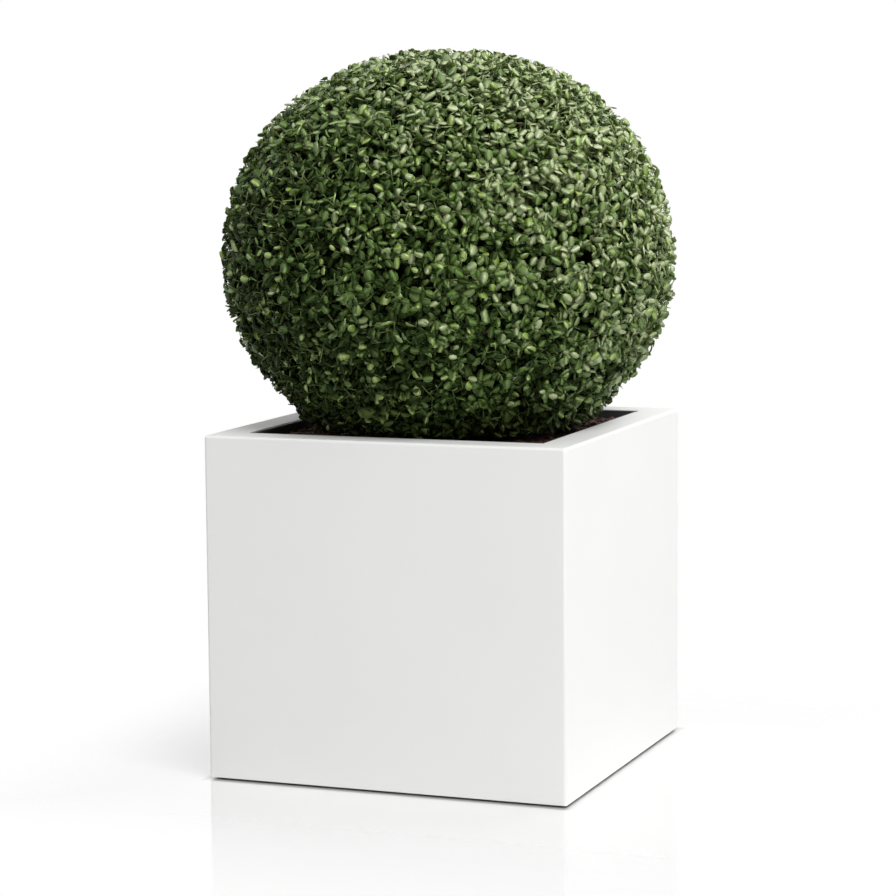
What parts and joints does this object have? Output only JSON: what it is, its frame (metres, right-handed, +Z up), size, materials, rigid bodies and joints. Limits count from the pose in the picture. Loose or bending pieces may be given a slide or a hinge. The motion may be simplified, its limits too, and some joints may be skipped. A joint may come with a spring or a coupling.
{
  "type": "planted fibreglass planter",
  "caption": "Square white fibreglass floor planter with a flat returned rim and a lift-out liner, planted with a clipped boxwood ball.",
  "frame": {"origin": "middle of the planter's footprint on the floor", "axes": "+Z up, the front face towards -Y, the width along X"},
  "size_m": [0.612, 0.612, 0.962],
  "materials": {
    "gelcoat": "white polyester gel coat on glass fibre, glossy",
    "core_timber": "planed softwood batten",
    "plywood": "exterior plywood, sanded",
    "foot_rubber": "moulded black rubber",
    "screw_steel": "stainless steel",
    "drain_plastic": "moulded polypropylene",
    "gasket_rubber": "flat rubber ring",
    "bung_rubber": "moulded rubber",
    "liner_plastic": "dark grey moulded polyethylene, satin",
    "plate_plastic": "black moulded polyethylene",
    "fleece": "needled root fleece",
    "compost": "moist potting compost, loose",
    "bark": "fine bark chips",
    "rooted_compost": "compost bound by fine roots",
    "stem_wood": "grey-brown boxwood bark",
    "leaf": "leathery evergreen leaves, waxy gloss"
  },
  "bodies": {
    "planter": {"outer_shell": "gelcoat", "rim_core_front": "core_timber", "rim_core_back": "core_timber", "rim_core_left": "core_timber", "rim_core_right": "core_timber", "base_board": "plywood", "foot_front_left": "foot_rubber", "foot_front_right": "foot_rubber", "foot_back_left": "foot_rubber", "foot_back_right": "foot_rubber", "foot_screws": "screw_steel", "drain_bush": "drain_plastic", "drain_gasket": "gasket_rubber", "drain_nut": "drain_plastic"},
    "bung": {"drain_bung": "bung_rubber"},
    "liner": {"liner_tub": "liner_plastic", "drainage_plate": "plate_plastic", "root_fleece": "fleece", "soil": "compost", "bark_mulch": "bark"},
    "plant": {"root_ball": "rooted_compost", "stem": "stem_wood", "crown": "leaf"}
  },
  "joints": [
    {"name": "liner_lift", "type": "slide", "parent": "planter", "child": "liner", "axis": [0, 0, 1], "range_m": [0, 0.45]},
    {"name": "plant_lift", "type": "slide", "parent": "liner", "child": "plant", "axis": [0, 0, 1], "range_m": [0, 0.34]},
    {"name": "bung_pull", "type": "slide", "parent": "planter", "child": "bung", "axis": [0, 0, 1], "range_m": [0, 0.015]}
  ]
}
